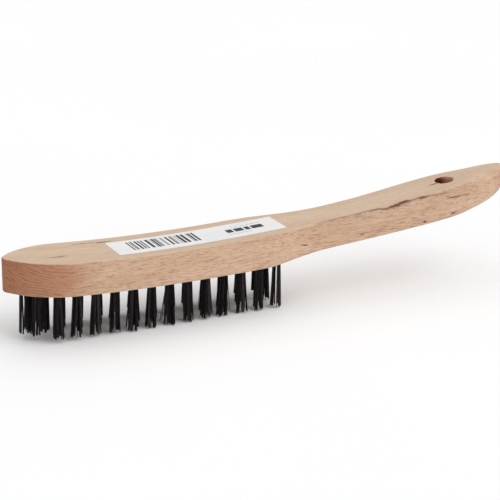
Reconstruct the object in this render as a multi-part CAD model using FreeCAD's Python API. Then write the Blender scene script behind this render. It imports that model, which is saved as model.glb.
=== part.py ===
import FreeCAD, Part
import math
import os

# Wire brush: a bent beech block with a flat head and an upswept handle, three rows of
# folded steel-wire tufts held in blind holes by flat anchors, and a paper label.
# Units are millimetres. +Z is up, +X points to the handle end, the brush stands on its
# wire tips and the origin is the middle of the bounding box's bottom face.

V = FreeCAD.Vector

# ---------------------------------------------------------------- driving dimensions
LENGTH = 290.0
HALF = LENGTH / 2.0
OVERRUN = 6.0

# Side view of the block: x from the middle, height above the wire tips.
# The lines run past both ends; the plan outline trims them.
TOP_LINE = ((-HALF - OVERRUN, 45.1), (-95.0, 41.7), (-45.0, 40.9), (0.0, 42.2),
            (35.0, 44.15), (75.0, 48.45), (115.0, 54.05), (HALF + OVERRUN, 59.2))
HEAD_UNDERSIDE = ((-HALF - OVERRUN, 27.4), (-95.0, 24.05), (-58.0, 23.4), (-20.0, 23.8),
                  (-3.0, 24.2))
HANDLE_UNDERSIDE = ((-3.0, 24.2), (20.0, 26.75), (55.0, 29.7), (95.0, 34.05), (126.0, 38.5),
                    (138.0, 42.4), (HALF + OVERRUN, 50.8))

# Plan view, one side: x from the middle, half width. Both ends close with an arc that
# stops at NOSE_ARC or TIP_ARC degrees from the middle line, and the head's flanks run
# straight between the two curves.
NOSE_RADIUS = 4.2
NOSE_ARC = 45.0
PLAN_NOSE = ((-141.0, 5.9), (-133.0, 11.9), (-125.0, 15.3), (-114.0, 17.35))
TIP_RADIUS = 3.8
TIP_ARC = 55.0
PLAN_HANDLE = ((-22.0, 17.35), (-5.0, 16.85), (22.0, 12.4), (42.0, 11.65), (75.0, 12.6),
               (97.0, 13.1), (113.0, 11.6), (126.0, 8.6))

ARRIS = 1.2

# Hanging hole through the handle.
HANG_X = 108.4
HANG_RADIUS = 5.0
HANG_RIM = 0.5

# Tufts stand in three rows. The middle row is set off by half a pitch, its last tuft is
# pulled back to the end of the flat, and two more tufts follow the curve of the nose.
PITCH = 10.1
ROW_Y = 12.2
OUTER_FIRST_X = -120.7
OUTER_COUNT = 13
MIDDLE_FIRST_X = OUTER_FIRST_X + PITCH / 2.0
MIDDLE_COUNT = 11
MIDDLE_NOSE_X = (-134.4, -123.4)
MIDDLE_LAST_X = -0.8
NOSE_PAIR_X = -130.0
NOSE_PAIR_Y = 5.2

# Blind hole and the bundle of wires folded in it.
HOLE_RADIUS = 2.3
HOLE_DEPTH = 10.0
DRILL_POINT = 1.2
BUNDLE_RADIUS = 2.25
BUNDLE_TIP_RADIUS = 2.75
BUNDLE_TIP_BEVEL = 0.4
CROWN_GAP = 0.2

# Flat anchor pressed across the fold of each bundle; its ends bite into the wood.
ANCHOR_LENGTH = 6.0
ANCHOR_HEIGHT = 2.2
ANCHOR_THICKNESS = 0.5
FOLD_COVER = 1.1

# Paper label on the head.
LABEL_X = -39.9
LABEL_Y = -0.6
LABEL_LENGTH = 94.4
LABEL_WIDTH = 20.8
LABEL_CORNER = 0.8
LABEL_TURN = 1.1
LABEL_THICKNESS = 0.12

# Cutting shapes reach this far past what they cut; the outline's prism clears the block.
CUT_MARGIN = 20.0
PRISM_HEIGHT = 80.0
# Steps of a search along a curve, points looked at on an edge, and how near counts as equal.
HALVINGS = 50
EDGE_SAMPLES = 8
SAME_PLACE = 0.01
HALF_QUARTER = math.radians(45.0)
UP = V(0.0, 0.0, 1.0)


# ---------------------------------------------------------------- curves
def side_curve(points):
    spline = Part.BSplineCurve()
    spline.interpolate(Points=[V(x, 0.0, z) for x, z in points])
    return spline


def plan_curve(points, first, last):
    spline = Part.BSplineCurve()
    spline.interpolate(Points=points, InitialTangent=first, FinalTangent=last)
    return spline


def end_point(end_x, radius, angle, side):
    turn = math.radians(angle)
    inward = -math.copysign(radius, end_x)
    return V(end_x + inward * (1.0 - math.cos(turn)), side * radius * math.sin(turn), 0.0)


def height_at(spline, x):
    low = spline.FirstParameter
    high = spline.LastParameter
    for step in range(HALVINGS):
        middle = (low + high) / 2.0
        if spline.value(middle).x < x:
            low = middle
        else:
            high = middle
    return spline.value(low).z


TOP = side_curve(TOP_LINE)
HEAD_BOTTOM = side_curve(HEAD_UNDERSIDE)
HANDLE_BOTTOM = side_curve(HANDLE_UNDERSIDE)


# ---------------------------------------------------------------- tuft positions
def outer_row():
    return [OUTER_FIRST_X + PITCH * i for i in range(OUTER_COUNT)]


def middle_row():
    regular = [MIDDLE_FIRST_X + PITCH * i for i in range(MIDDLE_COUNT)]
    return list(MIDDLE_NOSE_X) + regular + [MIDDLE_LAST_X]


def tuft_places():
    places = []
    places += [("near", i + 1, x, -ROW_Y) for i, x in enumerate(outer_row())]
    places += [("middle", i + 1, x, 0.0) for i, x in enumerate(middle_row())]
    places += [("far", i + 1, x, ROW_Y) for i, x in enumerate(outer_row())]
    places += [("nose", 1, NOSE_PAIR_X, -NOSE_PAIR_Y)]
    places += [("nose", 2, NOSE_PAIR_X, NOSE_PAIR_Y)]
    return places


TUFTS = [(row, i, V(x, y, height_at(HEAD_BOTTOM, x))) for row, i, x, y in tuft_places()]
FREE_LENGTH = min(root.z for row, i, root in TUFTS)


# ---------------------------------------------------------------- wooden block
def side_slab():
    nose = Part.LineSegment(HEAD_BOTTOM.StartPoint, TOP.StartPoint)
    tip = Part.LineSegment(TOP.EndPoint, HANDLE_BOTTOM.EndPoint)
    outline = [nose, TOP, tip, HANDLE_BOTTOM, HEAD_BOTTOM]
    wire = Part.Wire(Part.__sortEdges__([c.toShape() for c in outline]))
    slab = Part.Face(wire).extrude(V(0.0, 2.0 * CUT_MARGIN, 0.0))
    slab.translate(V(0.0, -CUT_MARGIN, 0.0))
    return slab


def plan_side(side):
    # One side of the outline, from the nose arc to the tip arc.
    along = V(1.0, 0.0, 0.0)
    nose_turn = math.radians(NOSE_ARC)
    tip_turn = math.radians(TIP_ARC)
    nose_points = [end_point(-HALF, NOSE_RADIUS, NOSE_ARC, side)]
    nose_points += [V(x, side * y, 0.0) for x, y in PLAN_NOSE]
    handle_points = [V(x, side * y, 0.0) for x, y in PLAN_HANDLE]
    handle_points.append(end_point(HALF, TIP_RADIUS, TIP_ARC, side))
    opening = V(math.sin(nose_turn), side * math.cos(nose_turn), 0.0)
    closing = V(math.sin(tip_turn), -side * math.cos(tip_turn), 0.0)
    nose = plan_curve(nose_points, opening, along)
    handle = plan_curve(handle_points, along, closing)
    flank = Part.LineSegment(nose.EndPoint, handle.StartPoint)
    return [nose, flank, handle]


def plan_prism():
    left = plan_side(1.0)
    right = plan_side(-1.0)
    nose_arc = Part.Arc(left[0].StartPoint, V(-HALF, 0.0, 0.0), right[0].StartPoint)
    tip_arc = Part.Arc(left[2].EndPoint, V(HALF, 0.0, 0.0), right[2].EndPoint)
    outline = [curve.toShape() for curve in left + right + [nose_arc, tip_arc]]
    wire = Part.Wire(Part.__sortEdges__(outline))
    return Part.Face(wire).extrude(UP * PRISM_HEIGHT)


def block_blank():
    return side_slab().common(plan_prism()).Solids[0]


def hang_cutter():
    top = height_at(TOP, HANG_X)
    bottom = height_at(HANDLE_BOTTOM, HANG_X)
    low = V(HANG_X, 0.0, bottom - CUT_MARGIN)
    return Part.makeCylinder(HANG_RADIUS, top - bottom + 2.0 * CUT_MARGIN, low, UP)


def tuft_hole(root):
    shaft = Part.makeCylinder(HOLE_RADIUS, HOLE_DEPTH + CUT_MARGIN, root - UP * CUT_MARGIN, UP)
    point = Part.makeCone(HOLE_RADIUS, 0.0, DRILL_POINT, root + UP * HOLE_DEPTH, UP)
    return shaft.fuse(point)


# ---------------------------------------------------------------- tufts and anchors
def anchor(root):
    crown = root.z + HOLE_DEPTH - CROWN_GAP
    corner = V(root.x - ANCHOR_THICKNESS / 2.0, root.y - ANCHOR_LENGTH / 2.0,
               crown - FOLD_COVER - ANCHOR_HEIGHT)
    return Part.makeBox(ANCHOR_THICKNESS, ANCHOR_LENGTH, ANCHOR_HEIGHT, corner)


def bundle(root):
    crown = HOLE_DEPTH - CROWN_GAP
    shoulder = crown - FOLD_COVER
    profile = [V(0.0, 0.0, -FREE_LENGTH),
               V(BUNDLE_TIP_RADIUS - BUNDLE_TIP_BEVEL, 0.0, -FREE_LENGTH),
               V(BUNDLE_TIP_RADIUS, 0.0, -FREE_LENGTH + BUNDLE_TIP_BEVEL),
               V(BUNDLE_RADIUS, 0.0, 0.0),
               V(BUNDLE_RADIUS, 0.0, shoulder)]
    edges = [Part.makeLine(a, b) for a, b in zip(profile, profile[1:])]
    bulge = V(BUNDLE_RADIUS * math.cos(HALF_QUARTER), 0.0,
              shoulder + FOLD_COVER * math.sin(HALF_QUARTER))
    top = V(0.0, 0.0, crown)
    edges.append(Part.Arc(profile[-1], bulge, top).toShape())
    edges.append(Part.makeLine(top, profile[0]))
    solid = Part.Face(Part.Wire(edges)).revolve(V(0.0, 0.0, 0.0), UP, 360.0)
    solid.translate(root)
    return solid.cut(anchor(root)).Solids[0]


# ---------------------------------------------------------------- label
def rounded_rectangle(length, width, radius):
    a = length / 2.0
    b = width / 2.0
    box = Part.makeBox(length, width, 2.0 * CUT_MARGIN, V(-a, -b, 0.0))
    upright = [e for e in box.Edges if abs(e.tangentAt(e.FirstParameter).z) > SAME_PLACE]
    return box.makeFillet(radius, upright)


def label():
    under = TOP.toShape()
    over = under.copy()
    over.translate(UP * LABEL_THICKNESS)
    ends = [Part.makeLine(TOP.StartPoint, TOP.StartPoint + UP * LABEL_THICKNESS),
            Part.makeLine(TOP.EndPoint, TOP.EndPoint + UP * LABEL_THICKNESS)]
    band = Part.Face(Part.Wire(Part.__sortEdges__([under, ends[0], over, ends[1]])))
    sheet = band.extrude(V(0.0, 2.0 * CUT_MARGIN, 0.0))
    sheet.translate(V(0.0, -CUT_MARGIN, 0.0))
    outline = rounded_rectangle(LABEL_LENGTH, LABEL_WIDTH, LABEL_CORNER)
    outline.rotate(V(0.0, 0.0, 0.0), UP, LABEL_TURN)
    outline.translate(V(LABEL_X, LABEL_Y, CUT_MARGIN))
    return sheet.common(outline).Solids[0]


# ---------------------------------------------------------------- block with its holes
def rim_edges(blank):
    # Every edge that runs round the top or the underside. The upright seams and the
    # crease where the handle starts each keep one x, and are left as they are.
    rims = []
    for edge in blank.Edges:
        xs = [point.x for point in edge.discretize(EDGE_SAMPLES)]
        if max(xs) - min(xs) > SAME_PLACE:
            rims.append(edge)
    return rims


def hang_rims(block):
    rims = []
    for edge in block.Edges:
        points = edge.discretize(EDGE_SAMPLES)
        offsets = [math.hypot(p.x - HANG_X, p.y) for p in points]
        heights = [p.z for p in points]
        on_wall = max(abs(r - HANG_RADIUS) for r in offsets) < SAME_PLACE
        level = max(heights) - min(heights) < HANG_RADIUS
        if on_wall and level:
            rims.append(edge)
    return rims


def wood_block():
    blank = block_blank()
    block = blank.makeFillet(ARRIS, rim_edges(blank)).cut(hang_cutter())
    block = block.makeFillet(HANG_RIM, hang_rims(block))
    holes = Part.makeCompound([tuft_hole(root) for row, i, root in TUFTS])
    slots = Part.makeCompound([anchor(root) for row, i, root in TUFTS])
    return block.cut(holes).cut(slots).Solids[0]


# ---------------------------------------------------------------- output
def save(name, shape):
    shape.exportStep(os.path.join("parts", name + ".step"))


def main():
    os.makedirs("parts", exist_ok=True)
    save("wood_block", wood_block())
    for row, i, root in TUFTS:
        save("tuft_%s_%02d" % (row, i), bundle(root))
    save("tuft_anchors", Part.makeCompound([anchor(root) for row, i, root in TUFTS]))
    save("label", label())


main()
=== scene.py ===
import math
import random

import bmesh
import bpy
import numpy as np
from mathutils import Matrix, Vector


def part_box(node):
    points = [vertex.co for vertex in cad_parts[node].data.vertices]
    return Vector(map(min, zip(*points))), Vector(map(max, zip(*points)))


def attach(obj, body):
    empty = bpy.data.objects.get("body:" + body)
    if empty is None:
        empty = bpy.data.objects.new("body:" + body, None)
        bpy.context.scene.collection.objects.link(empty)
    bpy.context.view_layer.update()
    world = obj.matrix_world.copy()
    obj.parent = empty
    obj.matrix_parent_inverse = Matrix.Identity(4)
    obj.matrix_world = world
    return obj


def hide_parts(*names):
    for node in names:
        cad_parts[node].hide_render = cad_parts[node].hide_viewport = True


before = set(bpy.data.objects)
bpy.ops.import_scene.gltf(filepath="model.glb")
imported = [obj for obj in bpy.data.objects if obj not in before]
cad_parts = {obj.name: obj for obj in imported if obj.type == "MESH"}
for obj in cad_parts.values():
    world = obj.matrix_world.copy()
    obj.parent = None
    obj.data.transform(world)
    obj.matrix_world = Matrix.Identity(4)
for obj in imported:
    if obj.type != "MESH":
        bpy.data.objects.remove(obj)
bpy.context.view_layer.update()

MM = 0.001
SCENE = bpy.context.scene


# ---------------------------------------------------------------- object and mesh helpers
def add_object(name, data):
    obj = bpy.data.objects.new(name, data)
    SCENE.collection.objects.link(obj)
    return obj


def add_piece(name, mesh):
    """A visible piece of the brush; all of them ride on the one body."""
    obj = add_object(name, mesh)
    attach(obj, "root")
    return obj


def to_mesh(bm, name, material=None):
    mesh = bpy.data.meshes.new(name)
    bm.to_mesh(mesh)
    bm.free()
    if material is not None:
        mesh.materials.append(material)
    return mesh


def smooth(mesh, angle):
    for polygon in mesh.polygons:
        polygon.use_smooth = True
    mesh.set_sharp_from_angle(angle=math.radians(angle))


def store(mesh, name, values):
    layer = mesh.attributes.new(name, "FLOAT", "POINT")
    layer.data.foreach_set("value", np.asarray(values, np.float32))


def join_rings(bm, low, high, smooth_faces=False):
    """Faces of a tube between two closed rings of vertices."""
    for k in range(len(low)):
        n = (k + 1) % len(low)
        bm.faces.new((low[k], low[n], high[n], high[k])).smooth = smooth_faces


# ---------------------------------------------------------------- camera
SENSOR = 36.0
LENS = 135.53
AIM = Vector((-9.08, 0.0, 29.36)) * MM
AZIMUTH = math.radians(25.297)
ELEVATION = math.radians(18.795)
ROLL = math.radians(0.12)
DISTANCE = 991.39 * MM
CLIP_START = 0.05
CLIP_END = 50.0


def make_camera():
    forward = Vector((math.sin(AZIMUTH) * math.cos(ELEVATION),
                      math.cos(AZIMUTH) * math.cos(ELEVATION),
                      -math.sin(ELEVATION)))
    right = Vector((math.cos(AZIMUTH), -math.sin(AZIMUTH), 0.0))
    up = right.cross(forward)
    across = right * math.cos(ROLL) + up * math.sin(ROLL)
    upward = up * math.cos(ROLL) - right * math.sin(ROLL)
    data = bpy.data.cameras.new("camera")
    data.sensor_width = SENSOR
    data.lens = LENS
    data.clip_start = CLIP_START
    data.clip_end = CLIP_END
    camera = add_object("camera", data)
    turn = Matrix((across, upward, -forward)).transposed()
    camera.matrix_world = Matrix.Translation(AIM - forward * DISTANCE) @ turn.to_4x4()
    SCENE.camera = camera


make_camera()

# ---------------------------------------------------------------- the block's lines, in mm
# The same driving lines as the CAD block.
HALF = 145.0
OVERRUN = 6.0
TOP_LINE = ((-HALF - OVERRUN, 45.1), (-95.0, 41.7), (-45.0, 40.9), (0.0, 42.2),
            (35.0, 44.15), (75.0, 48.45), (115.0, 54.05), (HALF + OVERRUN, 59.2))
HEAD_UNDERSIDE = ((-HALF - OVERRUN, 27.4), (-95.0, 24.05), (-58.0, 23.4), (-20.0, 23.8),
                  (-3.0, 24.2))
HANDLE_UNDERSIDE = ((-3.0, 24.2), (20.0, 26.75), (55.0, 29.7), (95.0, 34.05), (126.0, 38.5),
                    (138.0, 42.4), (HALF + OVERRUN, 50.8))
CREASE_X = -3.0
NOSE_RADIUS = 4.2
NOSE_ARC = 45.0
PLAN_NOSE = ((-141.0, 5.9), (-133.0, 11.9), (-125.0, 15.3), (-114.0, 17.35))
TIP_RADIUS = 3.8
TIP_ARC = 55.0
PLAN_HANDLE = ((-22.0, 17.35), (-5.0, 16.85), (22.0, 12.4), (42.0, 11.65), (75.0, 12.6),
               (97.0, 13.1), (113.0, 11.6), (126.0, 8.6))
HANG_X = 108.4
HANG_RADIUS = 5.0
HANG_RIM = 0.55
# Samples of each span of a line, and of each arc at the ends.
SPAN_STEPS = 40
ARC_STEPS = 30


def spline(points, first=None, last=None):
    """Dense samples of a twice-smooth cubic through the points, timed by chord length."""
    p = np.array(points, float)
    n = len(p)
    h = np.linalg.norm(np.diff(p, axis=0), axis=1)
    a = np.zeros((n, n))
    b = np.zeros((n, 2))
    for i in range(1, n - 1):
        a[i, i - 1] = 1.0 / h[i - 1]
        a[i, i] = 2.0 / h[i - 1] + 2.0 / h[i]
        a[i, i + 1] = 1.0 / h[i]
        b[i] = 3.0 * ((p[i] - p[i - 1]) / h[i - 1] ** 2 + (p[i + 1] - p[i]) / h[i] ** 2)
    if first is None:
        a[0, 0], a[0, 1] = 2.0, 1.0
        b[0] = 3.0 * (p[1] - p[0]) / h[0]
    else:
        a[0, 0] = 1.0
        b[0] = first
    if last is None:
        a[-1, -1], a[-1, -2] = 2.0, 1.0
        b[-1] = 3.0 * (p[-1] - p[-2]) / h[-1]
    else:
        a[-1, -1] = 1.0
        b[-1] = last
    m = np.linalg.solve(a, b)
    out = []
    for i in range(n - 1):
        for k in range(SPAN_STEPS):
            t = k / SPAN_STEPS
            out.append((1 + 2 * t) * (1 - t) ** 2 * p[i] + t * (1 - t) ** 2 * h[i] * m[i]
                       + t * t * (3 - 2 * t) * p[i + 1] + t * t * (t - 1) * h[i] * m[i + 1])
    out.append(p[-1])
    return np.array(out)


TOP = spline(TOP_LINE)
HEAD = spline(HEAD_UNDERSIDE)
HANDLE = spline(HANDLE_UNDERSIDE)


def top_z(x):
    return np.interp(x, TOP[:, 0], TOP[:, 1])


def bottom_z(x):
    head = np.interp(x, HEAD[:, 0], HEAD[:, 1])
    handle = np.interp(x, HANDLE[:, 0], HANDLE[:, 1])
    return np.where(np.asarray(x) < CREASE_X, head, handle)


def arc(centre, radius, start, stop):
    turns = np.radians(np.linspace(start, stop, ARC_STEPS + 1))
    return np.stack([centre + radius * np.cos(turns), radius * np.sin(turns)], -1)


def plan_side():
    """The outline from nose to tip on the +Y side, as dense points."""
    nose_arc = arc(-HALF + NOSE_RADIUS, NOSE_RADIUS, 180.0, 180.0 - NOSE_ARC)
    tip_arc = arc(HALF - TIP_RADIUS, TIP_RADIUS, TIP_ARC, 0.0)
    nose_turn = math.radians(NOSE_ARC)
    tip_turn = math.radians(TIP_ARC)
    nose = spline([nose_arc[-1], *PLAN_NOSE],
                  (math.sin(nose_turn), math.cos(nose_turn)), (1.0, 0.0))
    handle = spline([*PLAN_HANDLE, tip_arc[0]],
                    (1.0, 0.0), (math.sin(tip_turn), -math.cos(tip_turn)))
    return np.vstack([nose_arc[:-1], nose, handle, tip_arc[1:]])


PLAN = plan_side()


def half_width(x):
    return np.interp(x, PLAN[:, 0], PLAN[:, 1])


# Steps along the outline, in mm: at the two ends, how much each grows per mm away from them,
# and the longest one, which is shorter along the worn stretch of the handle.
END_STEP = 0.34
STEP_GROWTH = 0.08
LONG_STEP = 1.25
WORN_STEP = 0.6
WORN_FROM = 25.0
WORN_TO = 115.0
SHORTEST_STEP = 0.15
# The outline's direction is read between points this far to either side.
NORMAL_REACH = 0.05


def stations():
    """Points along one side with their outward normals; one of them is on the crease."""
    plan_x, plan_y = PLAN.T
    run = np.concatenate([[0.0], np.cumsum(np.linalg.norm(np.diff(PLAN, axis=0), axis=1))])
    total = run[-1]
    marks = [0.0]
    while marks[-1] < total:
        here = marks[-1]
        from_end = min(here, total - here)
        worn = WORN_FROM < np.interp(here, run, plan_x) < WORN_TO
        longest = WORN_STEP if worn else LONG_STEP
        marks.append(here + min(longest, END_STEP + STEP_GROWTH * from_end))
    marks = np.array(marks[:-1] + [total])
    if marks[-1] - marks[-2] < SHORTEST_STEP:
        marks = np.delete(marks, -2)
    nearest = int(np.abs(np.interp(marks, run, plan_x) - CREASE_X).argmin())
    marks[nearest] = np.interp(CREASE_X, plan_x, run)
    x = np.interp(marks, run, plan_x)
    y = np.interp(marks, run, plan_y)
    ahead = np.clip(marks + NORMAL_REACH, 0.0, total)
    behind = np.clip(marks - NORMAL_REACH, 0.0, total)
    dx = np.interp(ahead, run, plan_x) - np.interp(behind, run, plan_x)
    dy = np.interp(ahead, run, plan_y) - np.interp(behind, run, plan_y)
    size = np.hypot(dx, dy)
    nx, ny = -dy / size, dx / size
    nx[0], ny[0], nx[-1], ny[-1] = -1.0, 0.0, 1.0, 0.0
    return x, y, nx, ny


# Radius of the edge rounding: x, radius. The top is crisp round the head and sanded rounder
# along the handle.
TOP_ARRIS = ((-145.0, 0.6), (-60.0, 0.65), (0.0, 0.9), (50.0, 1.5), (125.0, 1.6), (145.0, 1.2))
LOW_ARRIS = ((-145.0, 0.7), (0.0, 0.8), (60.0, 1.1), (145.0, 0.9))


def along(x, table):
    """The table's value at x, from rows of x and value."""
    return np.interp(x, *np.array(table).T)


# ---------------------------------------------------------------- the wooden block
CAP_STEPS = 12
ARRIS_STEPS = 6
SIDE_STEPS = 18
# Above 1, the rows of the side stand closer together near the top.
SIDE_CROWDING = 1.15
# Edges that turn by more than this are sharp, in degrees.
BLOCK_SHARP = 32.0


def half_section(x, y, nx, ny):
    """Points of one station from the top's middle line down one side to the bottom's."""
    radius = float(along(x, TOP_ARRIS))
    inner_x = x - nx * radius
    inner_y = max(y - ny * radius, 0.0)
    points = []
    for k in range(CAP_STEPS):
        points.append((inner_x, inner_y * k / CAP_STEPS, float(top_z(inner_x))))
    for k in range(ARRIS_STEPS + 1):
        turn = math.radians(90.0 * k / ARRIS_STEPS)
        out = radius * math.sin(turn)
        px = inner_x + nx * out
        points.append((px, inner_y + ny * out, float(top_z(px)) - radius * (1 - math.cos(turn))))
    high = points[-1][2]
    radius = float(along(x, LOW_ARRIS))
    inner_x = x - nx * radius
    inner_y = max(y - ny * radius, 0.0)
    low = float(bottom_z(x)) + radius
    for k in range(1, SIDE_STEPS):
        share = k / SIDE_STEPS
        points.append((x, y, high + (low - high) * share ** SIDE_CROWDING))
    for k in range(ARRIS_STEPS + 1):
        turn = math.radians(90.0 * k / ARRIS_STEPS)
        out = radius * math.cos(turn)
        px = inner_x + nx * out
        points.append((px, inner_y + ny * out,
                       float(bottom_z(px)) + radius * (1 - math.sin(turn))))
    for k in range(CAP_STEPS - 1, -1, -1):
        points.append((inner_x, inner_y * k / CAP_STEPS, float(bottom_z(inner_x))))
    return points


# A torn sliver along the near top arris of the handle, and a darker colour in and beside it:
# x, drop below the top line, half width, depth, share of darkening.
GASH = ((22.0, 0.25, 0.50, 0.0, 0.2), (32.0, 0.3, 0.50, 0.0, 0.6), (56.0, 0.4, 0.50, 0.05, 0.7),
        (62.0, 0.9, 0.50, 0.1, 0.75), (66.0, 1.8, 0.60, 0.3, 0.9), (69.0, 1.65, 0.80, 0.6, 1.0),
        (73.0, 1.25, 1.10, 0.8, 1.0), (78.0, 0.75, 0.90, 0.6, 1.0), (81.0, 0.6, 0.50, 0.2, 0.6),
        (84.0, 0.65, 0.50, 0.1, 0.7), (86.5, 0.7, 0.75, 0.2, 1.0), (89.5, 0.8, 0.65, 0.1, 0.95),
        (92.0, 1.1, 0.60, 0.0, 0.5), (100.0, 2.0, 0.70, 0.0, 0.4), (110.0, 2.6, 0.50, 0.0, 0.0))
# The sliver's edge wanders: swing in mm, radians per mm, phase.
GASH_WANDER = ((0.15, 0.8, 0.0), (0.1, 1.9, 1.0))
# The sliver and its darkening end this far in from the side, and fade over the last part.
GASH_INNER = 1.0
GASH_FADE = 0.6
# Radius of the broad round worn into the near top arris of the tip: x, radius. It counts
# where it is larger than the usual rounding, and takes up this share of the half width.
TIP_WORN = ((112.0, 0.0), (116.0, 2.0), (124.0, 5.5), (134.0, 6.0), (145.0, 2.5))
TIP_WORN_LEAST = 1.0
TIP_WORN_SHARE = 0.9
# Small dents: x, drop below the top line, length, height, depth.
DENTS = ((16.6, 10.6, 3.0, 0.5, 0.25), (89.4, 15.0, 1.1, 0.6, 0.3), (69.4, 13.9, 1.2, 0.4, 0.15),
         (107.3, 15.1, 2.2, 0.5, 0.2), (51.4, 12.8, 1.3, 0.45, 0.2))
# Worn points also come down, by this share of the depth they sink in.
WEAR_DROP = 0.35
# Vertices closer than this are one vertex, in metres.
SAME_PLACE = 1e-7


def along_gash(points, sunk=False):
    """Depth and darkening of the torn sliver at each point of the near side; sunk points have
    already been moved inwards by the depth."""
    x, y, z = points.T
    gx, gdrop, gwidth, gdepth, gdark_line = np.array(GASH).T
    wander = sum(swing * np.sin(x * rate + phase) for swing, rate, phase in GASH_WANDER)
    offset = (top_z(x) - z - np.interp(x, gx, gdrop) - wander) / np.interp(x, gx, gwidth)
    depth = np.interp(x, gx, gdepth, 0.0, 0.0)
    dark_line = np.interp(x, gx, gdark_line, 0.0, 0.0)
    inward = GASH_INNER + (depth if sunk else 0.0)
    outer = np.clip((inward - y - half_width(x)) / GASH_FADE, 0.0, 1.0)
    close = outer * np.exp(-offset ** 2)
    return depth * close, dark_line * close


def round_tip(points):
    """Bring the near top arris of the tip back to its worn round."""
    x, y, z = points.T
    side = half_width(x)
    radius = np.minimum(along(x, TIP_WORN), TIP_WORN_SHARE * side)
    inward = radius - (side - np.abs(y))
    upward = radius - (top_z(x) - z)
    reach = np.hypot(inward, upward)
    corner = (y < 0.0) & (inward > 0.0) & (upward > 0.0)
    outside = corner & (reach > radius) & (radius > TIP_WORN_LEAST)
    pull = np.where(outside, radius / np.maximum(reach, 1e-6), 1.0)
    y = np.where(outside, -(side - radius + inward * pull), y)
    z = np.where(outside, top_z(x) - radius + upward * pull, z)
    return np.column_stack((x, y, z))


def near_side_wear(points):
    """How deep each point of the near side sinks, in mm."""
    x, y, z = points.T
    depth = along_gash(points)[0]
    for dx, ddrop, length, height, deep in DENTS:
        away = ((x - dx) / length) ** 2 + ((top_z(x) - z - ddrop) / height) ** 2
        depth += np.where(y < 0.0, deep * np.exp(-away), 0.0)
    return depth


def block_mesh():
    bm = bmesh.new()
    rows = []
    for x, y, nx, ny in zip(*stations()):
        half = half_section(x, y, nx, ny)
        loop = [(px, -py, pz) for px, py, pz in half]
        loop += half[-2:0:-1]
        rows.append(loop)
    grid = np.array(rows)
    count, around = grid.shape[:2]
    flat = round_tip(grid.reshape(-1, 3))
    depth = near_side_wear(flat)
    flat[:, 1] += depth
    flat[:, 2] -= depth * WEAR_DROP
    verts = [bm.verts.new(Vector(p) * MM) for p in flat]
    sections = [verts[i * around:(i + 1) * around] for i in range(count)]
    for here, ahead in zip(sections, sections[1:]):
        join_rings(bm, here, ahead)
    bmesh.ops.remove_doubles(bm, verts=bm.verts, dist=SAME_PLACE)
    bmesh.ops.dissolve_degenerate(bm, edges=bm.edges, dist=SAME_PLACE / 10.0)
    bmesh.ops.recalc_face_normals(bm, faces=bm.faces)
    return to_mesh(bm, "beech_block")


# ---------------------------------------------------------------- holes
# Unevenness of a ragged ring: swing, waves round the ring, phase. It is strongest at the
# hanging hole's upper rim and fades down the wall with this power.
RAGGED_WAVES = ((1.0, 5.0, 0.7), (0.6, 11.0, 2.0))
RIM_RAGGED = 0.13
RAGGED_FADE = 4
RIM_STEPS = 4
WALL_STEPS = 8
HANG_SIDES = 64
# The cutter's rim starts just outside the surface and its ends stand clear of the wood.
RIM_PROUD = 0.02
CLEAR = 1.0
# The surface's slope at a hole is read between points this far to either side.
HANG_SLOPE_REACH = 5.0
TUFT_SLOPE_REACH = 1.0
TUFT_HOLE_SIDES = 24
# A drilled tuft hole from below its mouth to its point: radius, height above the underside.
TUFT_HOLE = ((2.65, -1.0), (2.6, -0.02), (2.38, 0.2), (2.3, 0.5), (2.3, 10.0), (0.2, 11.1))


def slope_of(line, x, reach):
    return float(line(x + reach) - line(x - reach)) / (2.0 * reach)


def lathe(bm, centre, profile, steps, shear):
    """A closed turned solid about an upright axis, from rings of radius, height and
    raggedness; shear tilts the rings along X. No point lies on the centre planes."""
    cx, cy = centre
    rings = []
    for radius, z, ragged in profile:
        ring = []
        for k in range(steps):
            turn = 2.0 * math.pi * (k + 0.5) / steps
            wave = sum(swing * math.sin(waves * turn + phase)
                       for swing, waves, phase in RAGGED_WAVES)
            px = (radius + ragged * wave) * math.cos(turn)
            py = (radius + ragged * wave) * math.sin(turn)
            ring.append(bm.verts.new(Vector((cx + px, cy + py, z + shear * px)) * MM))
        rings.append(ring)
    for low, high in zip(rings, rings[1:]):
        join_rings(bm, low, high)
    bm.faces.new(rings[0][::-1])
    bm.faces.new(rings[-1])


def hang_cutter(bm):
    """The hanging hole with its rounded rims; the wall turns ragged towards the top."""
    top = float(top_z(HANG_X))
    bottom = float(bottom_z(HANG_X))
    widest = HANG_RADIUS + 2.0 * HANG_RIM
    profile = [(widest, bottom - CLEAR, 0.0)]
    for k in range(RIM_STEPS + 1):
        turn = math.radians(90.0 * k / RIM_STEPS)
        profile.append((HANG_RADIUS + HANG_RIM * (1 - math.sin(turn)),
                        bottom - RIM_PROUD + HANG_RIM * (1 - math.cos(turn)), 0.0))
    for k in range(1, WALL_STEPS):
        share = k / WALL_STEPS
        ragged = RIM_RAGGED * share ** RAGGED_FADE
        profile.append((HANG_RADIUS, bottom + (top - bottom) * share, ragged))
    for k in range(RIM_STEPS + 1):
        turn = math.radians(90.0 * k / RIM_STEPS)
        profile.append((HANG_RADIUS + HANG_RIM * (1 - math.cos(turn)),
                        top + RIM_PROUD - HANG_RIM * (1 - math.sin(turn)), RIM_RAGGED))
    profile.append((widest, top + CLEAR, RIM_RAGGED))
    slope = slope_of(top_z, HANG_X, HANG_SLOPE_REACH)
    lathe(bm, (HANG_X, 0.0), profile, HANG_SIDES, slope)


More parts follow.
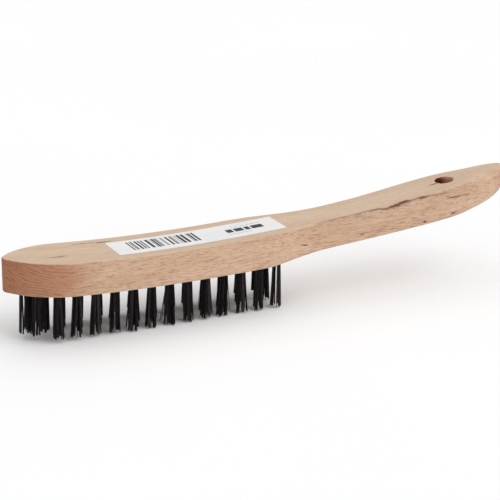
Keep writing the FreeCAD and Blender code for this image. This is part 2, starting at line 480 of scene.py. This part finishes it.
def tuft_places():
    """Root of every tuft in mm, read from its CAD node: name, x, y, underside, tip."""
    places = []
    for name in sorted(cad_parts):
        if name.startswith("tuft_") and name != "tuft_anchors":
            low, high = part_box(name)
            x = (low.x + high.x) / 2.0 / MM
            y = (low.y + high.y) / 2.0 / MM
            places.append((name, x, y, float(bottom_z(x)), low.z / MM))
    return places


def drill_holes(block):
    bm = bmesh.new()
    hang_cutter(bm)
    for _, x, y, root, _ in tuft_places():
        profile = [(radius, root + height, 0.0) for radius, height in TUFT_HOLE]
        slope = slope_of(bottom_z, x, TUFT_SLOPE_REACH)
        lathe(bm, (x, y), profile, TUFT_HOLE_SIDES, slope)
    bmesh.ops.recalc_face_normals(bm, faces=bm.faces)
    cutter = add_object("cutter", to_mesh(bm, "cutter"))
    cut = block.modifiers.new("holes", "BOOLEAN")
    cut.operation = "DIFFERENCE"
    cut.solver = "EXACT"
    cut.object = cutter
    bpy.context.view_layer.update()
    graph = bpy.context.evaluated_depsgraph_get()
    result = bpy.data.meshes.new_from_object(block.evaluated_get(graph))
    block.modifiers.clear()
    block.data = result
    bpy.data.objects.remove(cutter)


# How far the scorching and the painted shade in the hanging hole reach past the hole's wall;
# their strength at the axis and how it falls off along X, a painted shade on the hole's left
# wall;
# and the depth over which it deepens, a painted shade deeper down the hole, from which share.
BURN_SHADE_REACH = 0.3
BURN_SHADE_CENTRE = 0.9
BURN_SHADE_FALL = 0.13
BURN_SHADE_LEAST = 0.2
BURN_SHADE_DEPTH = 2.5
BURN_SHADE_TOP_SHARE = 0.75
# A face counts as end grain from this much of its normal along X, and fully this much later.
END_FROM = 0.25
END_RANGE = 0.6


def shade_attributes(mesh):
    """Where the surface faces the ends, lies level, is burnt by the drill with painted shade
    inside the hanging hole, or is darker along the near top arris.
    """
    count = len(mesh.vertices)
    co = np.zeros(count * 3)
    no = np.zeros(count * 3)
    mesh.vertices.foreach_get("co", co)
    mesh.vertices.foreach_get("normal", no)
    co = co.reshape(-1, 3) / MM
    no = no.reshape(-1, 3)
    x, y, z = co.T
    inside = np.hypot(x - HANG_X, y) < HANG_RADIUS + BURN_SHADE_REACH
    # Inside the hanging hole the burn is also painted shade: darker towards the hole's left wall
    # and deeper down.
    burn_shade_along_x = np.clip(BURN_SHADE_CENTRE - BURN_SHADE_FALL * (x - HANG_X), BURN_SHADE_LEAST, 1.0)
    depth = np.clip((top_z(x) - z) / BURN_SHADE_DEPTH, 0.0, 1.0)
    burn_and_shade = np.where(inside, burn_shade_along_x * (BURN_SHADE_TOP_SHARE + (1.0 - BURN_SHADE_TOP_SHARE) * depth), 0.0)
    end = np.clip((np.abs(no[:, 0]) - END_FROM) / END_RANGE, 0.0, 1.0)
    end[inside] = 0.0
    store(mesh, "end_face", end)
    store(mesh, "level_face", np.abs(no[:, 2]))
    store(mesh, "burn_and_shade", burn_and_shade)
    store(mesh, "dark_line", along_gash(co, sunk=True)[1])


def build_block(material):
    block = add_object("beech_block", block_mesh())
    drill_holes(block)
    smooth(block.data, BLOCK_SHARP)
    shade_attributes(block.data)
    block.data.materials.append(material)
    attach(block, "root")
    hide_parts("wood_block")


# ---------------------------------------------------------------- wires
WIRE_RADIUS = 0.2
WIRE_SIDES = 6
WIRES_PER_TUFT = 52
BUNDLE_RADIUS = 2.05
# How far up into its hole a wire reaches.
INSIDE = 7.5
TUFT_SEED = 1000
# The range that turns are drawn from, and the golden angle, in radians.
FULL_TURN = 6.28
GOLDEN_TURN = 2.39996
# Room between the two legs of a folded bundle, and how much further apart their ends can be.
LEG_GAP = 0.45
LEGS_APART_MOST = 0.6
# Bundles that have twisted in their holes and opened wider, and by how far they have turned.
WIDE_GAPS = {"tuft_middle_01": 1.0, "tuft_near_13": 0.7, "tuft_near_11": 0.6}
GAP_TURN = math.radians(-25.0)
# Bundles drawn slimmer than the others.
SLIM = {"tuft_nose_01": 0.78, "tuft_nose_02": 0.82}
# How far the ends of the wires lie from above their roots, in mm: outwards all round, along
# X by row, and the spread from tuft to tuft.
SPLAY = 0.75
LEAN_X = {"near": -0.5, "nose": -0.5, "middle": -0.4, "far": -0.4}
TUFT_LEAN = 0.25
# Strands: how many, how far out they stand, how strongly their wires close up, and the
# spreads of lean and length.
STRANDS = 8
STRAND_REACH = 0.9
STRAND_PULL = 0.5
STRAND_LEAN = 0.24
STRAND_SHORT = 1.3
STRAND_SHORT_MOST = 3.5
# Single wires: the spreads of place, lean, bow and length, the share that is loose and how
# much further those lean, and the share that is cut short and by how much.
WIRE_PLACE = 0.05
WIRE_LEAN = 0.08
WIRE_BOW = 0.08
WIRE_SHORT = 0.4
LOOSE_SHARE = 0.07
LOOSE_LEAN = 2.5
CUT_SHARE = 0.12
CUT_SHORT = (0.6, 2.4)
# The longest wires reach past the CAD bundle's end, but never down to the floor.
PAST_TIP = 0.3
LOWEST = 0.08
# Places of the rings along a wire: -1 is inside the hole, 0 its mouth and 1 the end. Wires
# move apart towards the end with this power.
WIRE_STATIONS = (-1.0, 0.0, 0.2, 0.4, 0.6, 0.8, 1.0)
SPREAD_CURVE = 1.15
# Tufts whose outermost wires on one side have strayed: side, extra lean, how much shorter;
# and the place in the bundle from which wires count as outermost.
STRAYS = {"tuft_near_07": (-1.0, 2.8, 2.4), "tuft_near_08": (1.0, 0.7, 0.3),
          "tuft_near_09": (1.0, 1.4, 0.5), "tuft_near_10": (1.0, 1.5, 0.0),
          "tuft_near_02": (1.0, 0.3, 3.5), "tuft_near_03": (1.0, 0.7, 0.3),
          "tuft_near_05": (-1.0, 0.9, 1.0), "tuft_middle_12": (-1.0, 0.4, -1.0)}
STRAY_FROM = 1.7
# Share of a wire's tone and painted sheen that it has in common with its strand.
STRAND_TONE_AND_SHEEN = 0.6


def sunflower(count, radius, start):
    """Even places in a disc, from the middle outwards."""
    places = []
    for k in range(count):
        reach = radius * math.sqrt((k + 0.5) / count)
        turn = start + k * GOLDEN_TURN
        places.append((reach * math.cos(turn), reach * math.sin(turn)))
    return places


def two_legs(dx, dy, gap, slim):
    """Room for the fold's anchor: each half of the bundle stands to its own side. A wide
    gap has opened because the bundle has twisted in its hole."""
    away = math.copysign(gap / 2.0 + abs(dx) * (1.0 - gap / 2.0 / BUNDLE_RADIUS), dx)
    turn = GAP_TURN if gap > LEG_GAP else 0.0
    return (slim * (away * math.cos(turn) - dy * math.sin(turn)),
            slim * (away * math.sin(turn) + dy * math.cos(turn)))


def tuft_strands(rng, gap, slim):
    """Wires cling together in strands; each has its own place, lean, length, and tone with
    painted sheen.
    """
    strands = []
    start = rng.uniform(0.0, FULL_TURN)
    for dx, dy in sunflower(STRANDS, BUNDLE_RADIUS * STRAND_REACH, start):
        lean = (rng.gauss(0.0, STRAND_LEAN), rng.gauss(0.0, STRAND_LEAN))
        short = min(abs(rng.gauss(0.0, STRAND_SHORT)), STRAND_SHORT_MOST)
        strands.append((*two_legs(dx, dy, gap, slim), lean, short, rng.random()))
    return strands


def wire_path(place, dx, dy, rng, lean, legs_apart, strand):
    """Centre line of one wire from inside its hole to its cut end."""
    name, x, y, root, tip = place
    sx, sy, strand_lean, strand_short, _ = strand
    loose = LOOSE_LEAN if rng.random() < LOOSE_SHARE else 1.0
    push_x = (lean[0] + strand_lean[0] + dx / BUNDLE_RADIUS * SPLAY
              + math.copysign(legs_apart, dx)
              + (sx - dx) * STRAND_PULL + rng.gauss(0.0, WIRE_LEAN) * loose)
    push_y = (lean[1] + strand_lean[1] + dy / BUNDLE_RADIUS * SPLAY
              + (sy - dy) * STRAND_PULL + rng.gauss(0.0, WIRE_LEAN) * loose)
    bow_x = rng.gauss(0.0, WIRE_BOW)
    bow_y = rng.gauss(0.0, WIRE_BOW)
    short = strand_short + abs(rng.gauss(0.0, WIRE_SHORT))
    if rng.random() < CUT_SHARE:
        short += rng.uniform(*CUT_SHORT)
    side, strayed, shorter = STRAYS.get(name, (0.0, 0.0, 0.0))
    if dx * side > STRAY_FROM:
        push_x += side * strayed
        short += shorter
    end = max(tip - PAST_TIP + short, LOWEST)
    points = []
    for t in WIRE_STATIONS:
        free = max(t, 0.0)
        bow = math.sin(math.pi * free)
        shift = free ** SPREAD_CURVE
        z = root + (end - root) * t if t > 0.0 else root - INSIDE * t
        points.append(Vector((x + dx + push_x * shift + bow_x * bow,
                              y + dy + push_y * shift + bow_y * bow, z)))
    return points


def add_wire(bm, points, tone_and_sheen, layers):
    """A tube along the points, whose cut end has vertices of its own to be shaded apart."""
    tone_and_sheen_layer, cut_layer = layers
    rings = []
    for i, p in enumerate(points):
        behind = points[max(i - 1, 0)]
        ahead = points[min(i + 1, len(points) - 1)]
        along_wire = (ahead - behind).normalized()
        side = along_wire.cross(Vector((0.0, 1.0, 0.0))).normalized()
        other = along_wire.cross(side)
        ring = []
        for k in range(WIRE_SIDES):
            turn = tone_and_sheen * FULL_TURN + 2.0 * math.pi * k / WIRE_SIDES
            spot = p + (side * math.cos(turn) + other * math.sin(turn)) * WIRE_RADIUS
            vert = bm.verts.new(spot * MM)
            vert[tone_and_sheen_layer] = tone_and_sheen
            vert[cut_layer] = 0.0
            ring.append(vert)
        rings.append(ring)
    for low, high in zip(rings, rings[1:]):
        join_rings(bm, low, high, smooth_faces=True)
    bm.faces.new(rings[0][::-1])
    cap = []
    for vert in rings[-1]:
        twin = bm.verts.new(vert.co)
        twin[tone_and_sheen_layer] = tone_and_sheen
        twin[cut_layer] = 1.0
        cap.append(twin)
    bm.faces.new(cap)


def build_tuft(index, place, material):
    name = place[0]
    rng = random.Random(TUFT_SEED + index)
    bm = bmesh.new()
    layers = (bm.verts.layers.float.new("tone_and_sheen"), bm.verts.layers.float.new("cut"))
    row = name.split("_")[1]
    lean = (LEAN_X[row] + rng.gauss(0.0, TUFT_LEAN), rng.gauss(0.0, TUFT_LEAN))
    legs_apart = rng.uniform(0.0, LEGS_APART_MOST)
    gap = WIDE_GAPS.get(name, LEG_GAP)
    slim = SLIM.get(name, 1.0)
    strands = tuft_strands(rng, gap, slim)
    start = rng.uniform(0.0, FULL_TURN)
    for dx, dy in sunflower(WIRES_PER_TUFT, BUNDLE_RADIUS, start):
        dx, dy = two_legs(dx, dy, gap, slim)
        dx += rng.gauss(0.0, WIRE_PLACE)
        dy += rng.gauss(0.0, WIRE_PLACE)
        strand = min(strands, key=lambda s: (s[0] - dx) ** 2 + (s[1] - dy) ** 2)
        path = wire_path(place, dx, dy, rng, lean, legs_apart, strand)
        # The tone, mostly shared by the strand, also paints a sheen on some strands.
        tone_and_sheen = STRAND_TONE_AND_SHEEN * strand[4] + (1.0 - STRAND_TONE_AND_SHEEN) * rng.random()
        add_wire(bm, path, tone_and_sheen, layers)
    tuft = add_piece(name + "_wires", to_mesh(bm, name + "_wires", material))
    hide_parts(name)


# ---------------------------------------------------------------- label
LABEL_X = -39.9
LABEL_Y = -0.6
LABEL_LENGTH = 94.4
LABEL_WIDTH = 20.8
LABEL_CORNER = 0.8
LABEL_TURN = math.radians(1.1)
LABEL_LIFT = 0.015
LABEL_THICKNESS = 0.11
LABEL_STATIONS = 98
LABEL_COLUMNS = 16
CORNER_STEP = 15
LABEL_SHARP = 40.0
# Underside and top of the ink above the paper.
INK_LOW = 0.004
INK_HIGH = 0.012
PRINT_SEED = 41
# The bars: width of the narrowest, where they run along and across the label, where the
# last one may start, and the widths and gaps that are drawn from, in narrowest bars.
MODULE = 0.4
BARS_ALONG = (-37.2, 0.6)
BARS_ACROSS = (-5.6, 7.4)
LAST_BAR = 0.4
BAR_WIDTHS = (1, 1, 1, 2, 2, 3, 4)
BAR_GAPS = (1, 1, 2, 2, 3, 4)
# Blank blocks in place of the name: start and end of each, and their half height.
BLOCKS = ((17.0, 20.6), (21.6, 26.6), (27.6, 30.4), (31.4, 38.0))
BLOCK_HALF = 2.4
# Lines of small print: start, end and place across; dashes of these lengths stand for words.
SMALL_PRINT = ((22.0, 39.0, 5.0), (16.5, 30.0, -5.0))
WORD = (0.9, 2.4)
WORD_GAP = 0.5
WORD_HALF = 0.16


def on_label(u, v, lift):
    """A place on the label's own axes, lifted off the block's top surface."""
    x = LABEL_X + u * math.cos(LABEL_TURN) - v * math.sin(LABEL_TURN)
    y = LABEL_Y + u * math.sin(LABEL_TURN) + v * math.cos(LABEL_TURN)
    return Vector((x, y, float(top_z(x)) + lift)) * MM


def label_half_width(u):
    """Half the label's width at u, less where the corners are rounded."""
    gap = LABEL_CORNER - (LABEL_LENGTH / 2.0 - abs(u))
    if gap <= 0.0:
        return LABEL_WIDTH / 2.0
    inset = LABEL_CORNER - math.sqrt(max(LABEL_CORNER ** 2 - gap ** 2, 0.0))
    return LABEL_WIDTH / 2.0 - inset


def build_label(material):
    half = LABEL_LENGTH / 2.0
    corner = [LABEL_CORNER * (1 - math.cos(math.radians(turn)))
              for turn in range(0, 91, CORNER_STEP)]
    straight = np.linspace(-half + LABEL_CORNER, half - LABEL_CORNER, LABEL_STATIONS)
    us = [-half + e for e in corner] + list(straight[1:-1]) + [half - e for e in corner[::-1]]
    bm = bmesh.new()
    sheets = []
    for lift in (LABEL_LIFT + LABEL_THICKNESS, LABEL_LIFT):
        sheets.append([[bm.verts.new(on_label(u, label_half_width(u) * share, lift))
                        for share in np.linspace(-1.0, 1.0, LABEL_COLUMNS + 1)] for u in us])
    for rows in sheets:
        for a, b in zip(rows, rows[1:]):
            for k in range(LABEL_COLUMNS):
                bm.faces.new((a[k], b[k], b[k + 1], a[k + 1]))
    upper, lower = [[row[0] for row in rows] + rows[-1][1:]
                    + [row[-1] for row in reversed(rows[:-1])] + rows[0][-2:0:-1]
                    for rows in sheets]
    join_rings(bm, upper, lower)
    bmesh.ops.recalc_face_normals(bm, faces=bm.faces)
    mesh = to_mesh(bm, "label_paper", material)
    smooth(mesh, LABEL_SHARP)
    paper = add_piece("label_paper", mesh)
    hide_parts("label")


def patch(bm, u0, u1, v0, v1):
    """A thin printed patch that follows the paper."""
    steps = max(1, int(u1 - u0))
    paper_top = LABEL_LIFT + LABEL_THICKNESS
    corners = ((v0, INK_LOW), (v1, INK_LOW), (v1, INK_HIGH), (v0, INK_HIGH))
    rings = []
    for k in range(steps + 1):
        u = u0 + (u1 - u0) * k / steps
        rings.append([bm.verts.new(on_label(u, v, paper_top + lift)) for v, lift in corners])
    for low, high in zip(rings, rings[1:]):
        join_rings(bm, low, high)
    bm.faces.new(rings[0][::-1])
    bm.faces.new(rings[-1])


def build_print(material):
    rng = random.Random(PRINT_SEED)
    bm = bmesh.new()
    u = BARS_ALONG[0]
    while u < LAST_BAR:
        bar = MODULE * rng.choice(BAR_WIDTHS)
        gap = MODULE * rng.choice(BAR_GAPS)
        patch(bm, u, min(u + bar, BARS_ALONG[1]), *BARS_ACROSS)
        u += bar + gap
    for u0, u1 in BLOCKS:
        patch(bm, u0, u1, -BLOCK_HALF, BLOCK_HALF)
    for u0, u1, v in SMALL_PRINT:
        while u0 < u1:
            word = rng.uniform(*WORD)
            patch(bm, u0, min(u0 + word, u1), v - WORD_HALF, v + WORD_HALF)
            u0 += word + WORD_GAP
    bmesh.ops.recalc_face_normals(bm, faces=bm.faces)
    ink_piece = add_piece("label_print", to_mesh(bm, "label_print", material))


# ---------------------------------------------------------------- material helpers
class Nodes:
    """Short hands for building a node tree."""

    def __init__(self, name):
        self.material = bpy.data.materials.new(name)
        self.material.use_nodes = True
        self.tree = self.material.node_tree
        self.tree.nodes.clear()
        self.out = self.tree.nodes.new("ShaderNodeOutputMaterial")
        self.shader = self.tree.nodes.new("ShaderNodeBsdfPrincipled")
        self.link(self.shader.outputs["BSDF"], self.out.inputs["Surface"])

    def link(self, a, b):
        self.tree.links.new(a, b)

    def put(self, socket, value):
        if isinstance(value, bpy.types.NodeSocket):
            self.link(value, socket)
        else:
            socket.default_value = value

    def node(self, kind, **settings):
        made = self.tree.nodes.new(kind)
        for key, value in settings.items():
            setattr(made, key, value)
        return made

    def math(self, operation, a, b=0.0, c=0.0, clamp=False):
        made = self.node("ShaderNodeMath", operation=operation, use_clamp=clamp)
        for socket, value in zip(made.inputs, (a, b, c)):
            self.put(socket, value)
        return made.outputs[0]

    def coords(self):
        """Place on the object in millimetres."""
        source = self.node("ShaderNodeTexCoord").outputs["Object"]
        return self.mapping(source, scale=(1.0 / MM,) * 3)

    def mapping(self, vector, place=(0, 0, 0), turn=(0, 0, 0), scale=(1, 1, 1), kind="POINT"):
        made = self.node("ShaderNodeMapping", vector_type=kind)
        self.put(made.inputs["Vector"], vector)
        made.inputs["Location"].default_value = place
        made.inputs["Rotation"].default_value = turn
        made.inputs["Scale"].default_value = scale
        return made.outputs[0]

    def noise(self, vector, scale=1.0, detail=2.0, rough=0.5):
        made = self.node("ShaderNodeTexNoise")
        self.put(made.inputs["Vector"], vector)
        made.inputs["Scale"].default_value = scale
        made.inputs["Detail"].default_value = detail
        made.inputs["Roughness"].default_value = rough
        return made.outputs["Fac"]

    def ramp(self, value, low, high, to_low=0.0, to_high=1.0):
        """A smooth step from to_low to to_high as the value goes from low to high."""
        made = self.node("ShaderNodeMapRange", interpolation_type="SMOOTHSTEP")
        self.put(made.inputs["Value"], value)
        made.inputs["From Min"].default_value = low
        made.inputs["From Max"].default_value = high
        made.inputs["To Min"].default_value = to_low
        made.inputs["To Max"].default_value = to_high
        return made.outputs["Result"]

    def mix(self, share, a, b):
        """Colour a where share is 0 and b where it is 1; sockets 6 and 7 are its colours."""
        made = self.node("ShaderNodeMix", data_type="RGBA")
        self.put(made.inputs["Factor"], share)
        for socket, value in ((made.inputs[6], a), (made.inputs[7], b)):
            self.put(socket, (*value, 1.0) if isinstance(value, tuple) else value)
        return made.outputs[2]

    def attribute(self, name):
        return self.node("ShaderNodeAttribute", attribute_name=name).outputs["Fac"]

    def length(self, vector):
        made = self.node("ShaderNodeVectorMath", operation="LENGTH")
        self.put(made.inputs[0], vector)
        return made.outputs["Value"]

    def split(self, vector):
        made = self.node("ShaderNodeSeparateXYZ")
        self.link(vector, made.inputs[0])
        return made.outputs

    def surface(self, colour, roughness, specular=None, metallic=None):
        self.put(self.shader.inputs["Base Color"], colour)
        self.put(self.shader.inputs["Roughness"], roughness)
        if specular is not None:
            self.shader.inputs["Specular IOR Level"].default_value = specular
        if metallic is not None:
            self.shader.inputs["Metallic"].default_value = metallic

    def bump(self, height, strength, distance):
        """Relief from the height; distance is its full depth in metres."""
        made = self.node("ShaderNodeBump")
        self.put(made.inputs["Height"], height)
        made.inputs["Strength"].default_value = strength
        made.inputs["Distance"].default_value = distance
        self.link(made.outputs["Normal"], self.shader.inputs["Normal"])


def linear(*display):
    """A linear colour from 0-255 display values."""
    def one(c):
        c /= 255.0
        return c / 12.92 if c <= 0.04045 else ((c + 0.055) / 1.055) ** 2.4
    return tuple(one(c) for c in display)


# ---------------------------------------------------------------- materials
# Growth rings: their tilt about X, their pitch in mm, and how far they wander.
RING_TILT = math.radians(-35.0)
RING_PITCH = 1.25
RING_WANDER = 9.0
# The heartwood at the nose fades out between these places along X, unevenly by this much.
HEART_FROM = -112.0
HEART_TO = -82.0
HEART_UNEVEN = 26.0

# Colours of the beech.
TOP_LIGHT = linear(214, 190, 166)
TOP_DARK = linear(207, 181, 156)
SIDE_LIGHT = linear(217, 184, 157)
SIDE_DARK = linear(206, 170, 141)
HEARTWOOD = linear(172, 109, 75)
FIBRE = linear(164, 128, 102)
THREAD = linear(150, 112, 86)
RING = linear(134, 90, 62)
RAY = linear(114, 68, 42)
END_LIGHT = linear(166, 108, 74)
END_DARK = linear(92, 48, 28)
STREAK = linear(88, 46, 26)
# Colour of the darker line along the near top arris and in the sliver.
DARK_LINE = linear(92, 42, 20)
# The hanging hole's wall: scorched wood, and charred wood that also paints the shade on the
# hole's left and deep inside.
SCORCHED = linear(206, 158, 124)
CHARRED_AND_SHADE = linear(88, 29, 8)

# Three sizes of the short dark rays: offset, tilt in degrees, cells per mm along X, Y and Z,
# and where the noise starts and ends to count as a ray.
RAYS = (
    ((0.0, 0.0, 0.0), 2.0, (0.17, 0.35, 2.2), 0.61, 0.69),
    ((31.0, 7.0, 3.0), -4.0, (0.11, 0.30, 1.8), 0.63, 0.70),
    ((5.0, 17.0, 9.0), 1.0, (0.30, 0.60, 3.0), 0.60, 0.69),
)

# Dark streaks in the wood: centre, half sizes in mm, turn about Y in degrees, strength.
STREAKS = (
    ((-119.0, -5.5, 43.2), (7.5, 0.8, 3.0), 0.0, 0.6),
    ((-115.0, -4.6, 42.8), (4.0, 0.8, 3.0), 0.0, 0.6),
    ((-87.5, 11.2, 41.4), (7.0, 1.1, 3.0), 0.0, 0.8),
    ((-98.0, 12.2, 41.6), (10.0, 1.0, 3.0), 0.0, 0.5),
    ((16.6, -13.2, 32.4), (3.6, 3.0, 0.5), 13.0, 0.95),
    ((89.4, -13.1, 35.4), (1.5, 3.0, 0.75), -8.0, 1.0),
    ((69.4, -12.4, 33.9), (1.6, 3.0, 0.4), -12.0, 0.8),
    ((51.4, -11.8, 32.9), (1.7, 3.0, 0.5), -6.0, 0.85),
    ((107.3, -12.5, 37.7), (2.8, 3.0, 0.6), -8.0, 1.0),
    ((109.0, -12.0, 46.9), (8.5, 3.0, 0.45), -1.0, 0.95),
    ((116.0, -11.0, 47.0), (5.0, 3.0, 0.35), 1.0, 0.6),
    ((101.0, -1.6, 52.0), (4.6, 0.75, 4.0), 0.0, 1.0),
)


def beech():
    """Growth rings, drifts of tone, fibres and rays, then the marks, and the scorching with
    painted shade inside the hanging hole.
    """
    n = Nodes("beech")
    p = n.coords()
    grain = n.mapping(p, turn=(RING_TILT, 0.0, 0.0))

    wander = n.noise(n.mapping(grain, scale=(0.018, 0.06, 0.06)), detail=2.0)
    depth = n.math("MULTIPLY_ADD", wander, RING_WANDER, n.split(grain)["Z"])
    beat = n.math("SINE", n.math("MULTIPLY", depth, 2.0 * math.pi / RING_PITCH))
    ring = n.math("POWER", n.math("MULTIPLY_ADD", beat, 0.5, 0.5), 3.0)
    uneven = n.noise(n.mapping(grain, scale=(0.03, 0.25, 0.9)), detail=1.0)
    ring = n.math("MULTIPLY", ring, n.ramp(uneven, 0.35, 0.65, 0.25, 1.0))

    broad = n.noise(n.mapping(grain, scale=(0.012, 0.09, 0.13)), detail=2.0)
    fibre = n.noise(n.mapping(grain, scale=(0.07, 2.6, 2.6)), detail=3.0, rough=0.6)
    thread = n.noise(n.mapping(grain, scale=(0.22, 7.0, 7.0)), detail=2.0)
    speck = n.noise(n.mapping(grain, scale=(0.9, 6.0, 6.0)), detail=1.0)
    rays = 0.0
    for shift, tilt, scale, low, high in RAYS:
        field = n.noise(n.mapping(p, shift, (0.0, math.radians(tilt), 0.0), scale), detail=1.0)
        rays = n.math("MAXIMUM", n.ramp(field, low, high), rays)

    end = n.attribute("end_face")
    side = n.math("SUBTRACT", 1.0, n.attribute("level_face"), clamp=True)
    heart = n.math("MULTIPLY_ADD", broad, HEART_UNEVEN, n.split(p)["X"])
    heart = n.math("MULTIPLY", n.ramp(heart, HEART_FROM, HEART_TO, 1.0, 0.0), side)

    light = n.mix(side, TOP_LIGHT, SIDE_LIGHT)
    dark = n.mix(side, TOP_DARK, SIDE_DARK)
    colour = n.mix(n.ramp(broad, 0.3, 0.7), light, dark)
    colour = n.mix(n.math("MULTIPLY", heart, 0.75), colour, HEARTWOOD)
    colour = n.mix(n.ramp(fibre, 0.35, 0.75, 0.0, 0.30), colour, FIBRE)
    colour = n.mix(n.ramp(thread, 0.5, 0.75, 0.0, 0.28), colour, THREAD)
    ring_shown = n.math("MULTIPLY_ADD", end, 0.5, n.math("MULTIPLY_ADD", heart, 0.3, 0.12))
    colour = n.mix(n.math("MULTIPLY", ring, ring_shown), colour, RING)
    ray_shown = n.math("MULTIPLY_ADD", side, 0.39, 0.05)
    colour = n.mix(n.math("MULTIPLY", rays, ray_shown), colour, RAY)
    colour = n.mix(n.math("MULTIPLY", end, 0.7), colour, n.mix(ring, END_LIGHT, END_DARK))

    ragged = n.noise(n.mapping(p, scale=(0.5, 2.2, 2.2)), detail=2.0)
    for centre, sizes, turn, strength in STREAKS:
        local = n.mapping(p, centre, (0.0, math.radians(turn), 0.0), sizes, "TEXTURE")
        reach = n.math("MULTIPLY_ADD", ragged, 0.9, n.length(local))
        colour = n.mix(n.ramp(reach, 0.75, 1.45, strength, 0.0), colour, STREAK)
    # Darker along the near top arris of the handle and in the sliver.
    dark_line = n.math("MULTIPLY", n.attribute("dark_line"), n.ramp(ragged, 0.2, 0.5, 0.55, 1.0))
    colour = n.mix(dark_line, colour, DARK_LINE)
    # Scorching in the hanging hole, with painted shade darker on its left wall and deeper down.
    burn_and_shade = n.attribute("burn_and_shade")
    charred_and_shade = n.mix(n.ramp(burn_and_shade, 0.25, 0.8), SCORCHED, CHARRED_AND_SHADE)
    colour = n.mix(n.ramp(burn_and_shade, 0.0, 0.2), colour, charred_and_shade)

    n.surface(colour, n.ramp(fibre, 0.3, 0.7, 0.55, 0.7), specular=0.3)
    height = n.math("MULTIPLY_ADD", rays, -0.6, n.math("MULTIPLY", fibre, 0.5))
    height = n.math("MULTIPLY_ADD", speck, 0.25, height)
    n.bump(height, 0.5, 0.00012)
    return n.material


def wire_steel():
    """Dark drawn wire; every wire has its own tone, with painted sheen shared along its strand,
    and the cut ends are brighter.
    """
    n = Nodes("wire_steel")
    p = n.coords()
    drawn = n.noise(n.mapping(p, scale=(3.0, 3.0, 0.35)), detail=2.0)
    # Lighter purplish wires are painted sheen as well as tone.
    shade = n.math("MULTIPLY_ADD", n.attribute("tone_and_sheen"), 0.6, n.math("MULTIPLY", drawn, 0.5))
    colour = n.mix(n.ramp(shade, 0.45, 0.85), linear(12, 10, 10), linear(74, 66, 68))
    cut_share = n.math("MULTIPLY", n.attribute("cut"), 0.6)
    colour = n.mix(cut_share, colour, linear(96, 94, 94))
    n.surface(colour, n.ramp(drawn, 0.3, 0.7, 0.38, 0.55), specular=0.3, metallic=0.55)
    n.bump(n.noise(n.mapping(p, scale=(9.0, 9.0, 0.8)), detail=1.0), 0.25, 0.00004)
    return n.material


def anchor_steel():
    n = Nodes("anchor_steel")
    rolled = n.noise(n.mapping(n.coords(), scale=(8.0, 0.8, 8.0)), detail=2.0)
    colour = n.mix(rolled, linear(150, 150, 154), linear(190, 190, 194))
    n.surface(colour, n.ramp(rolled, 0.3, 0.7, 0.3, 0.45), metallic=1.0)
    n.bump(rolled, 0.2, 0.00003)
    return n.material


def paper():
    n = Nodes("paper")
    p = n.coords()
    pulp = n.noise(n.mapping(p, scale=(1.2, 1.2, 1.2)), detail=4.0, rough=0.65)
    tint = n.noise(n.mapping(p, scale=(0.05, 0.12, 0.1)), detail=1.0)
    colour = n.mix(n.ramp(tint, 0.35, 0.65), linear(234, 233, 231), linear(228, 229, 230))
    colour = n.mix(n.ramp(pulp, 0.35, 0.75, 0.0, 0.3), colour, linear(212, 212, 212))
    n.surface(colour, n.ramp(pulp, 0.3, 0.7, 0.42, 0.55), specular=0.4)
    n.bump(pulp, 0.15, 0.00003)
    return n.material


def ink():
    n = Nodes("ink")
    wear = n.noise(n.mapping(n.coords(), scale=(4.0, 4.0, 4.0)), detail=3.0)
    colour = n.mix(n.ramp(wear, 0.4, 0.8), linear(24, 24, 28), linear(54, 54, 60))
    n.surface(colour, n.ramp(wear, 0.3, 0.7, 0.45, 0.6))
    n.bump(wear, 0.1, 0.00002)
    return n.material


def floor_material():
    n = Nodes("floor")
    cloud = n.noise(n.mapping(n.coords(), scale=(0.004, 0.004, 0.004)), detail=2.0)
    n.surface(n.mix(cloud, linear(246, 246, 247), linear(250, 250, 250)), 0.9)
    return n.material


# ---------------------------------------------------------------- light and floor
FLOOR_SIZE = 6.0
FLOOR_CELLS = 8
SKY_STRENGTH = 0.58
# Even lights from far away, soft because each covers a wide angle of the sky: name, where
# it stands from the brush, the angle it covers in degrees, strength.
LIGHTS = (("key", (1.0, -1.2, 1.2), 60.0, 1.15), ("top", (0.2, 0.2, 1.6), 90.0, 0.85))


def build_floor():
    bm = bmesh.new()
    bmesh.ops.create_grid(bm, x_segments=FLOOR_CELLS, y_segments=FLOOR_CELLS, size=FLOOR_SIZE)
    floor = add_object("floor", to_mesh(bm, "floor", floor_material()))


def build_light():
    world = bpy.data.worlds.new("studio")
    world.use_nodes = True
    sky = world.node_tree.nodes["Background"]
    sky.inputs["Color"].default_value = (1.0, 1.0, 1.0, 1.0)
    sky.inputs["Strength"].default_value = SKY_STRENGTH
    SCENE.world = world
    for name, direction, angle, strength in LIGHTS:
        data = bpy.data.lights.new(name, "SUN")
        data.angle = math.radians(angle)
        data.energy = strength
        light = add_object(name, data)
        light.rotation_euler = (-Vector(direction)).to_track_quat("-Z", "Y").to_euler()


# ---------------------------------------------------------------- build
build_block(beech())
steel = wire_steel()
for index, place in enumerate(tuft_places()):
    build_tuft(index, place, steel)
build_label(paper())
build_print(ink())
anchor_material = anchor_steel()
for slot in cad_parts["tuft_anchors"].material_slots:
    slot.material = anchor_material
build_floor()
build_light()
SCENE.view_settings.view_transform = "Standard"
SCENE.view_settings.look = "None"
